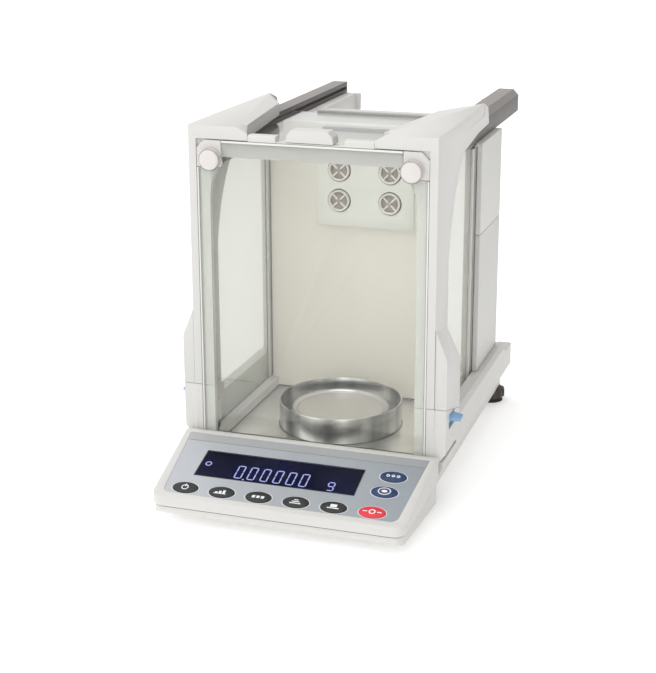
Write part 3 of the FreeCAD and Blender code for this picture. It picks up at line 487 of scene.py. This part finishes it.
# ---- mouldings, metal and glass that keep the CAD's shape ----------------------------
def dress_mouldings():
    """Mouldings, rails and feet in the CAD's own shape, with their edges rounded."""
    for side in ("left", "right"):
        # Painted light on the pillars' and corner blocks' faces behind the front pane.
        two_toned(shaped("front_pillar_" + side, 1.6, WHITE_ABS), PAINTED_LIGHT_ABS, behind_pane)
        two_toned(shaped("corner_block_" + side, 1.0, WHITE_ABS), PAINTED_LIGHT_ABS, behind_pane)
        # Painted light on the door frames' rear stiles.
        two_toned(shaped("door_frame_" + side, 0.4, DOOR_ABS), STILE_PAINTED_LIGHT, behind_pan)
        shaped("lock_lever_" + side, 0.5, LEVER_ABS)
        # Painted shade on the rails' upright sides.
        two_toned(shaped("door_rail_" + side, 0.3, RAIL_METAL), RAIL_PAINTED_SHADE, upright_side)
    for node, radius in (("front_crossbar", 0.3), ("rail_supports", 0.6), ("cell_housing", 0.8)):
        shaped(node, radius, WHITE_ABS)
    # Painted light on the base's faces in the narrow gap beside the doors.
    two_toned(shaped("base_housing", 0.8, WHITE_ABS), PAINTED_LIGHT_ABS, facing_doors)
    two_toned(shaped("top_door_grip", 0.6, WHITE_ABS), BAR_ABS, behind_pan)
    shaped("rear_covers", 0.6, COVER_ABS)
    shaped("display_bezel", 0.9, WHITE_ABS)
    shaped("display_tray", 0.6, WHITE_ABS)
    shaped("pane_clamps", 0.3, WHITE_ABS)
    shaped("base_tray", 0.6, TRAY_ABS)
    shaped("rear_wall", 0.3, WALL_ABS)
    shaped("ionizer_panel", 0.5, PANEL_ABS)
    shaped("rail_end_caps", 0.4, CAP_ABS)
    shaped("rear_connectors", 0.3, BLACK_ABS)
    shaped("front_feet", 1.2, RUBBER)


def dress_metal_and_glass():
    """The steel floor, and the panes, works, boards and studs that keep the CAD's own triangles."""
    shaped("chamber_floor", 0.3, FLOOR_METAL)
    for node, finish in (
            ("front_pane", GLASS), ("door_glass_left", DOOR_GLASS), ("door_glass_right", DOOR_GLASS),
            ("top_door_glass", GLASS), ("pan_hanger", CELL_METAL), ("cell_frame", CELL_METAL),
            ("weigh_beam", CELL_METAL), ("cell_magnet", IRON), ("calibration_weight", PAN_METAL),
            ("calibration_motor", BLACK_ABS), ("circuit_boards", BOARD), ("display_module", BOARD),
            ("display_panel", PANEL_PRINT), ("display_window", LENS), ("foot_stud_left", IRON),
            ("foot_stud_right", IRON), ("foot_pad_left", RUBBER), ("foot_pad_right", RUBBER)):
        paint(node, finish)


# ---- weighing chamber --------------------------------------------------------------
def ring_and_pan():
    """Draft ring with a rounded rim, with the shade of its groove painted as a dark band round its foot, and
    the dished pan.
    """
    middle = PAN_CENTRE.copy()
    middle.z = 0.0
    wall = rounded_profile([(55.8, 37.5), (55.8, 61.3), (57.0, 61.3), (57.0, 37.5), (55.8, 37.5)],
                           [0.55, 0.55, 0.3])
    wear(lathed("draft_ring_wall", wall, middle, turns=160), RING_METAL, node="draft_ring")
    groove = [(57.2, 37.41), (57.9, 37.41), (57.9, 37.52), (57.2, 37.52), (57.2, 37.41)]
    # Painted shadow: a dark band on the floor where the ring stands in its groove.
    wear(lathed("ring_groove_shadow", groove, middle, turns=128), GASKET_AND_GROOVE_SHADOW)
    plate = [(0, 51.4), (36, 51.4), (42.5, 51.9)]
    raised_rim = [(43.6, 53.4), (45.0, 53.4), (45.0, 50.6)]
    hub = [(10.0, 50.4), (9.0, 42.0), (0, 42.0)]
    dish = rounded_profile(plate + raised_rim + hub, [6, 3, 0.6, 0.6, 1.2, 1.5, 0.8])
    wear(lathed("weighing_pan_dish", dish, middle, turns=128), PAN_METAL, node="weighing_pan")


def floor_details():
    """Seals along three sides of the steel floor, and the two screws that hold it."""
    top = 37.4
    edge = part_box("chamber_floor")[1].x / MM - 0.2
    for side, tag in SIDES:
        wear(side_block("floor_seal_" + tag, side, (edge, edge + 0.9), (9, 161), (37.2, 38.0)), GASKET_AND_GROOVE_SHADOW)
    wear(block("floor_seal_rear", (-89, 161.1, 37.2), (89, 161.95, 38.4)), GASKET_AND_GROOVE_SHADOW)
    for side, tag in SIDES:
        screw("floor_screw_" + tag, (side * 78 * MM, SHIELD_FRONT + 20 * MM, top * MM), "Z", 2.6, 0.9)


def level_vial():
    """Bubble level: a black collar, the vial with its spirit, and the black circle on top."""
    low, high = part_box("bubble_level")
    centre = (low + high) / 2
    base = Vector((centre.x, centre.y, low.z))
    tall = (high.z - low.z) / MM
    cup = rounded_profile([(0, 0), (8, 0), (8, tall), (6.3, tall), (6.3, tall - 1.2), (0, tall - 1.2)],
                          [0.3, 0.5, 0.3, 0.2])
    wear(lathed("level_collar", cup, base, turns=48), BLACK_ABS)
    spirit = rounded_profile([(0, tall - 1.1), (6.2, tall - 1.1), (6.2, tall - 0.3), (0, tall - 0.1)],
                             [0.2, 0.3])
    wear(lathed("level_vial", spirit, base, turns=48), VIAL_GLASS, node="bubble_level")
    under, over = tall - 0.14, tall - 0.05
    mark = [(2.3, under), (2.6, under), (2.6, over), (2.3, over), (2.3, under)]
    wear(lathed("level_mark", mark, base, turns=40), BLACK_ABS)


def ionizer_outlets():
    """Four round outlets, two by two across the panel, each as far from the box's edge as its radius."""
    low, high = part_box("ionizer_grilles")
    inset = OUTLET_RADIUS * MM
    for column, x in enumerate((low.x + inset, high.x - inset)):
        for row, z in enumerate((low.z + inset, high.z - inset)):
            outlet("%d_%d" % (column, row), Vector((x, low.y, z)))


def outlet(tag, place):
    """One outlet: a seat painted dark as the shadow in its gap, a disc set a little to the left in it, and a
    cross of ribs over its vent.
    """
    seat = [(0, 4.0), (10.9, 4.0), (10.9, 4.6), (0, 4.6)]
    # Painted shadow in the gap round the disc.
    wear(lathed("outlet_seat_" + tag, seat, place, "Y", 64), GAP_PAINTED_SHADOW)
    middle = place + Vector((-0.45, 0.0, -0.2)) * MM
    inner_wall = [(8.3, 4.3), (8.3, 1.4)]
    front_edge = [(9.0, 0.6), (10.2, 0.6)]
    outer_wall = [(10.35, 1.4), (10.35, 4.3), (8.3, 4.3)]
    rim = rounded_profile(inner_wall + front_edge + outer_wall, [0.4, 0.3, 0.4, 0.4, 0.3])
    wear(lathed("outlet_rim_" + tag, rim, middle, "Y", 64), GRILLE_ABS, node="ionizer_grilles")
    vent = [(0, 3.2), (8.4, 3.2), (8.4, 4.2), (0, 4.2)]
    wear(lathed("outlet_vent_" + tag, vent, middle, "Y", 48), VENT_ABS)
    hub = rounded_profile([(0, 0.9), (2.2, 0.9), (2.6, 3.3), (0, 3.3)], [0.5, 0.3])
    wear(lathed("outlet_hub_" + tag, hub, middle, "Y", 32), VENT_ABS)
    for turn in (45, 135, 225, 315):
        rib = rib_points(math.radians(turn), 1.4, 8.7, 1.5, 1.1, 3.4) + np.asarray(middle)
        wear(object_from("outlet_rib_%s_%d" % (tag, turn), rib, BOX_FACES, False), GRILLE_ABS)


def rib_points(angle, start, end, width, front, back):
    """Corners in metres of a rib that runs outwards at an angle in a disc facing -Y, its measures in mm."""
    ahead = np.array([math.cos(angle), 0.0, math.sin(angle)])
    aside = np.array([-math.sin(angle), 0.0, math.cos(angle)]) * width / 2
    deep = np.array([0.0, 1.0, 0.0])
    corners = [(start, -1), (end, -1), (end, 1), (start, 1)]
    return np.array([r * ahead + side * aside + y * deep for y in (front, back) for r, side in corners]) * MM


def screw(name, place, axis, radius, rise):
    """Pan-head screw: a lathed dome with a flat-bottomed drive hole."""
    drive_hole = [(0, rise * 0.45), (radius * 0.42, rise * 0.45), (radius * 0.46, rise)]
    dome = [(radius * 0.8, rise * 0.92), (radius, rise * 0.3), (radius, 0.0), (0, 0.0)]
    head = rounded_profile(drive_hole + dome, [0.05, 0.15, 0.4, 0.2, 0.05])
    return wear(lathed(name, head, place, axis, 28), SCREW_METAL)


# ---- draft shield details --------------------------------------------------------------
def clamp_knobs():
    """Smooth round knobs: a domed face, a soft rim and a short neck."""
    for side in ("left", "right"):
        low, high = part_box("clamp_knob_" + side)
        centre = Vector(((low.x + high.x) / 2, low.y, (low.z + high.z) / 2))
        depth = (high.y - low.y) / MM
        face = [(0, 0.0), (8.0, 0.35), (9.25, 1.6)]
        rim = [(9.2, 7.4), (8.4, 8.15)]
        neck = [(3.0, 8.15), (3.0, depth), (0, depth)]
        profile = rounded_profile(face + rim + neck, [2.2, 0.9, 0.4, 0.4, 0.4, 0.2])
        wear(lathed("knob_" + side, profile, centre, "Y", 72), KNOB_ABS, node="clamp_knob_" + side)


def glass_seals():
    """The front pane's seals, a painted highlight and a painted shade line along each side edge, and the
    brushes at the side doors' ends.
    """
    pane = (47.2, 289.5)
    for side, tag in SIDES:
        wear(side_block("pane_seal_" + tag, side, (102.75, PANE_SEAT), (0.9, 3.3), (93, pane[1])), GASKET_AND_GROOVE_SHADOW)
        # Painted highlight and painted shade line along the pane's side edge.
        wear(side_block("pane_facet_" + tag, side, (101.3, 102.5), (0.32, 0.42), pane), GLASS_EDGE_HIGHLIGHT)
        wear(side_block("pane_facet_line_" + tag, side, (100.7, 101.2), (0.34, 0.42), pane), GLASS_EDGE_SHADE)
        wear(side_block("column_brush_" + tag, side, (PANE_SEAT, 104.6), (165.0, 168.4), (71, 291)),
             BRUSH_DARK)
        wear(side_block("door_brush_" + tag, side, (93.4, 96.6), (4.0, 9.4), (94, 286)), BRUSH_GREY)


def top_edges():
    """Painted highlight along the front pane's upper edge with a painted shadow line under it, and the wiper
    at the top of the rear wall.
    """
    # Painted highlight along the pane's top edge, and the painted shadow line under it.
    wear(block("pane_facet_top", (-79.8, 0.30, 311.7), (79.8, 0.42, 313.45)), GLASS_EDGE_HIGHLIGHT)
    wear(block("pane_facet_top_line", (-79.8, 0.32, 310.9), (79.8, 0.42, 311.6)), GLASS_EDGE_SHADE)
    wear(block("top_door_wiper", (-40, 152.0, 296.6), (50, 158.3, 299.8), 0.4), GASKET_DARK)


def shadow_line(node, name, place, slope, depth, lift=0.12):
    """Dark seam: the band of a node just under a sloping plane, moved lift mm out along its normals."""
    shape = bmesh.new()
    shape.from_mesh(frame["nodes"][node].data)
    bmesh.ops.remove_doubles(shape, verts=shape.verts, dist=CAD_WELD)
    across = Vector((0.0, -math.sin(slope), math.cos(slope)))
    for shift, clear_above in ((0.0, True), (-depth * MM, False)):
        parts = shape.verts[:] + shape.edges[:] + shape.faces[:]
        bmesh.ops.bisect_plane(shape, geom=parts, plane_co=place + across * shift, plane_no=across,
                               clear_outer=clear_above, clear_inner=not clear_above)
    shape.normal_update()
    for vertex in shape.verts:
        vertex.co += vertex.normal * lift * MM
    mesh = bpy.data.meshes.new(name)
    shape.to_mesh(mesh)
    shape.free()
    return wear(link(name, mesh, False), SEAM_SHADOW)


def display_seam():
    """Seam round the read-out where its casing sits on its tray, on a plane that rises to the back."""
    front_edge = Vector((0.0, SHIELD_FRONT - 97.3 * MM, 17.2 * MM))
    slope = math.atan2(12.3, 95.3)
    shadow_line("display_tray", "display_seam", front_edge, slope, 0.7)


def foot_wheels():
    """Thumbwheels of the rear feet: the radius is a mean plus a flattened cosine, twelve waves a turn."""
    angle = np.linspace(0.0, TAU, 193)
    lobes = 14.1 + 0.85 * np.tanh(2.2 * np.cos(12 * angle))
    scale = np.array([0.0, 0.93, 1.0, 1.0, 0.93, 0.42, 0.40, 0.0])
    for side in ("left", "right"):
        low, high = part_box("foot_wheel_" + side)
        centre = (low + high) / 2 / MM
        tall = (high.z - low.z) / MM
        height = np.array([0.0, 0.0, 1.1, tall - 1.1, tall, tall, tall - 0.8, tall - 0.8]) + low.z / MM
        points = np.stack([centre.x + scale[:, None] * lobes * np.cos(angle),
                           centre.y + scale[:, None] * lobes * np.sin(angle),
                           np.broadcast_to(height[:, None], (len(scale), len(angle)))], axis=-1)
        faces = grid_faces(len(scale), len(angle))
        piece = object_from("thumbwheel_" + side, points.reshape(-1, 3) * MM, faces, False)
        wear(piece, FOOT_ABS, node="foot_wheel_" + side)


# ---- display ---------------------------------------------------------------------------
def segment(name, x, v, length, lying):
    """One lit segment on the lens: a bar with pointed ends, lying across or standing up the slope."""
    half = length / 2
    tip = SEGMENT_WIDTH / 2
    outline = np.array([(-half, 0), (-half + tip, tip), (half - tip, tip),
                        (half, 0), (half - tip, -tip), (-half + tip, -tip)])
    if not lying:
        outline = outline[:, ::-1]
    wear(face_plate(name, outline + np.array([x, v]), *LIT_RISES), SEGMENT)


def readout():
    """Six seven-segment zeros, a decimal point, a gram sign and the stable ring, laid on the lens."""
    first, pitch, foot = -46.3, 11.65, 33.7
    upright, across = 15.8, 5.9
    for digit in range(6):
        x = first + digit * pitch
        for row, v in enumerate((foot, foot + upright)):
            segment("digit_%d_bar_%d" % (digit, row), x, v, across - 0.5, True)
        for column, dx in enumerate((-across / 2, across / 2)):
            for row, v in enumerate((foot + upright * 0.25, foot + upright * 0.75)):
                segment("digit_%d_post_%d_%d" % (digit, column, row), x + dx, v, upright / 2 - 0.4, False)
    point = [(-41.1, 31.9), (-39.8, 31.9), (-39.8, 33.2), (-41.1, 33.2)]
    wear(face_plate("decimal_point", point, *LIT_RISES), SEGMENT)
    for name, v in (("gram_top", 43.4), ("gram_middle", 38.2), ("gram_base", 33.1)):
        segment(name, 36.6, v, 4.6, True)
    for name, x, v in (("gram_left", 34.0, 40.8), ("gram_right_high", 39.2, 40.8),
                       ("gram_right_low", 39.2, 35.6)):
        segment(name, x, v, 4.3, False)
    wear(face_ring("stable_ring", -77.7, 47.6, 2.9, 2.0, *LIT_RISES), SEGMENT)


def panel_details():
    """Recessed frame round the lens, the darker strip along the top and its dividing line."""
    low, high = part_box("display_window")
    left, right, bottom, top = low.x / MM, high.x / MM, 30.9, 64.4
    edge = 0.8
    for name, x0, x1, v0, v1 in (
            ("left", left - edge, left, bottom - edge, top + edge),
            ("right", right, right + edge, bottom - edge, top + edge),
            ("bottom", left, right, bottom - edge, bottom),
            ("top", left, right, top, top + edge)):
        bar = [(x0, v0), (x1, v0), (x1, v1), (x0, v1)]
        wear(face_plate("lens_edge_" + name, bar, -0.4, -0.24), BLACK_ABS)
    strip = [(-108.2, 77.4), (108.2, 77.4), (109.0, 86.6), (-109.0, 86.6)]
    wear(face_plate("panel_strip", strip, -0.31, -0.22), STRIP_PRINT)
    line = [(-108.3, 76.7), (108.3, 76.7), (108.3, 77.25), (-108.3, 77.25)]
    wear(face_plate("panel_line", line, -0.31, -0.2), LINE_GREY)


def key_middle(name):
    """Place of a key on the face, (x, v) in mm."""
    low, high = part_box("key_" + name)
    middle = (low + high) / 2 - FACE_ORIGIN
    return middle.x / MM, middle.dot(FACE_BACK) / MM


def domed_key(name, finish):
    """Oval key: the rise falls with the fourth power of the way from middle to rim, then a straight skirt."""
    x, v = key_middle(name)
    out = np.linspace(0.0, 1.0, 12)
    ratio = np.concatenate([out, [1.0, 0.4, 0.0]])[:, None]
    rise = np.concatenate([1.18 - 0.75 * out ** 4, [-2.4, -5.0, -5.0]])[:, None]
    angle = np.linspace(0.0, TAU, 65)
    points = on_face(x + KEY_HALF_WIDTH * ratio * np.cos(angle),
                     v + KEY_HALF_LENGTH * ratio * np.sin(angle), rise)
    cap = object_from("cap_" + name, points.reshape(-1, 3), grid_faces(len(ratio), len(angle)))
    wear(cap, finish, node="key_" + name)
    wear(face_ring("key_outline_" + name, x, v, 7.9, 7.4, -0.32, -0.12, 1.58), OUTLINE_WHITE)


def key_marks():
    """White signs printed on the keys, each made of plain bars and rings."""
    low, high = 0.95, 1.24

    def bar(name, key, x, v, wide, tall):
        """Rectangle of the print, placed from the key's middle."""
        kx, kv = key_middle(key)
        x, v, wide, tall = (MARK_SCALE * value for value in (x, v, wide, tall))
        outline = [(kx + x - wide / 2, kv + v - tall / 2), (kx + x + wide / 2, kv + v - tall / 2),
                   (kx + x + wide / 2, kv + v + tall / 2), (kx + x - wide / 2, kv + v + tall / 2)]
        wear(face_plate("mark_" + name, outline, low, high), MARK_WHITE, body=BODY_OF["key_" + key])

    def ring(name, key, x, v, outer, inner, stretch=1.0):
        """Ring of the print, placed from the key's middle."""
        kx, kv = key_middle(key)
        x, v, outer, inner = (MARK_SCALE * value for value in (x, v, outer, inner))
        piece = face_ring("mark_" + name, kx + x, kv + v, outer, inner, low, high, stretch)
        wear(piece, MARK_WHITE, body=BODY_OF["key_" + key])

    ring("power_ring", "power", 0, -0.4, 2.5, 1.8)
    bar("power_bar", "power", 0, 1.6, 0.75, 2.6)
    for step, tall in enumerate((1.2, 2.2, 3.2)):
        bar("calibrate_%d" % step, "calibrate", -3.2 + step * 2.6, -1.9 + tall / 2, 1.8, tall)
    bar("calibrate_base", "calibrate", -0.6, -2.3, 8.6, 0.6)
    for step in (-1, 0, 1):
        bar("mode_%d" % (step + 1), "mode", step * 3.2, -0.6, 2.2, 2.4)
    for step, wide in enumerate((3.0, 5.4, 7.8)):
        bar("range_%d" % step, "range", 0, 1.5 - step * 1.7, wide, 0.85)
    bar("print_sheet", "print", 0, 0.7, 4.6, 2.8)
    bar("print_slot", "print", 0, -1.7, 8.0, 0.9)
    ring("zero_ring", "zero", 0, -0.2, 2.3, 1.5, 1.0)
    bar("zero_left", "zero", -4.9, -0.2, 3.0, 0.8)
    bar("zero_right", "zero", 4.9, -0.2, 3.0, 0.8)
    for step in (-1, 0, 1):
        ring("select_%d" % (step + 1), "select", step * 3.6, 0, 1.25, 0.55)
    ring("ionizer_outer", "ionizer", 0, 0, 3.6, 3.0, 1.25)
    ring("ionizer_inner", "ionizer", 0, 0, 1.3, 0.0, 1.6)


def display_keys():
    """All eight keys."""
    for name in ("power", "calibrate", "mode", "range", "print"):
        domed_key(name, KEY_BLACK)
    domed_key("zero", KEY_RED)
    domed_key("select", KEY_NAVY)
    domed_key("ionizer", KEY_NAVY)
    key_marks()


# ---- rear and underside ----------------------------------------------------------------
def rear_details():
    """Vent slots painted dark as shade under small hoods, cover screws and socket contacts, all standing
    proud of the back.
    """
    back = (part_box("cell_housing")[1].y - SHIELD_FRONT) / MM
    lowest, pitch, slot = 118, 8, 2.4
    for row in range(9):
        z = lowest + row * pitch
        # Painted shade inside the vent slot.
        wear(block("rear_louvre_%d" % row, (-34, back - 0.1, z), (34, back + 0.1, z + slot)), GAP_PAINTED_SHADOW)
        hood = block("rear_hood_%d" % row, (-35, back - 0.2, z + slot), (35, back + 1.3, z + 3.6), 0.4)
        wear(hood, WHITE_ABS)
    for tag, x, z in (("a", -86, 74), ("b", 86, 74), ("c", -60, 284), ("d", 60, 284)):
        screw("rear_screw_" + tag, (x * MM, SHIELD_FRONT + back * MM, z * MM), "Y", 3.2, 0.85)
    sockets = (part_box("rear_connectors")[1].y - SHIELD_FRONT) / MM
    for pin in range(5):
        x = -20.4 + pin * 2.9
        contact = block("serial_pin_%d" % pin, (x, sockets - 0.2, 41.2), (x + 1.0, sockets + 0.2, 42.2))
        wear(contact, SCREW_METAL)


# ---- studio ---------------------------------------------------------------------------
def studio():
    """Pale floor, a surround that is brighter towards the upper left front, and two soft lamps."""
    reach = 40
    corners = [(-reach, -reach, 0), (reach, -reach, 0), (reach, reach, 0), (-reach, reach, 0)]
    floor = object_from("studio_floor", corners, [(0, 1, 2, 3)], False)
    paper, _, shader = new_finish("paper_floor", "#fcfcfc", 0.95)
    shader.inputs["Emission Color"].default_value = linear("#ffffff")
    shader.inputs["Emission Strength"].default_value = 0.28
    floor.data.materials.append(paper)
    bpy.context.scene.world = surround()
    soft_lamp("overhead", (-0.35, -0.25, 1.7), 1.4, 7.5)
    soft_lamp("front_fill", (0.25, -1.5, 0.75), 1.0, 2.0)


def surround():
    """World that brightens with the cosine towards one direction, and is at least white to the camera."""
    world = bpy.data.worlds.new("studio_surround")
    world.use_nodes = True
    tree = world.node_tree
    direction = add_node(tree, "TexCoord")
    brightest = Vector((-0.85, -0.3, 0.5)).normalized()
    towards = add_node(tree, "VectorMath", {0: direction.outputs["Generated"], 1: brightest},
                       operation="DOT_PRODUCT")
    glow = add_node(tree, "MapRange", {"Value": towards.outputs["Value"], "From Min": -1.0,
                                       "To Min": 0.18, "To Max": 1.30})
    rays = add_node(tree, "LightPath")
    white_behind = add_node(tree, "Math", {0: glow.outputs["Result"], 1: rays.outputs["Is Camera Ray"]},
                            operation="MAXIMUM")
    tree.links.new(white_behind.outputs["Value"], tree.nodes["Background"].inputs["Strength"])
    tree.nodes["Background"].inputs["Color"].default_value = (1, 1, 1, 1)
    return world


def soft_lamp(name, place, size, power):
    """Square lamp, size m wide, that looks at the middle of the balance."""
    lamp = bpy.data.lights.new(name, "AREA")
    lamp.size = size
    lamp.energy = power
    holder = bpy.data.objects.new(name, lamp)
    holder.location = place
    holder.rotation_euler = (Vector((0, 0, 0.15)) - holder.location).to_track_quat("-Z", "Y").to_euler()
    bpy.context.scene.collection.objects.link(holder)


def camera():
    """Camera to the right of the front, looking down at the balance."""
    data = bpy.data.cameras.new("view_camera")
    data.lens = 77.9
    data.sensor_width = 36.0
    data.shift_x = -0.02
    data.shift_y = -0.08
    holder = bpy.data.objects.new("view_camera", data)
    yaw, pitch = 0.3085, 0.2772
    ahead = Vector((-math.sin(yaw) * math.cos(pitch), math.cos(yaw) * math.cos(pitch), -math.sin(pitch)))
    holder.location = (0.3878, -1.2653, 0.5354)
    holder.rotation_euler = ahead.to_track_quat("-Z", "Y").to_euler()
    bpy.context.scene.collection.objects.link(holder)
    bpy.context.scene.camera = holder


bpy.context.scene.view_settings.view_transform = "Standard"
camera()
studio()
dress_mouldings()
dress_metal_and_glass()
ring_and_pan()
floor_details()
level_vial()
ionizer_outlets()
clamp_knobs()
glass_seals()
top_edges()
display_seam()
foot_wheels()
panel_details()
readout()
display_keys()
rear_details()

bpy.context.view_layer.update()
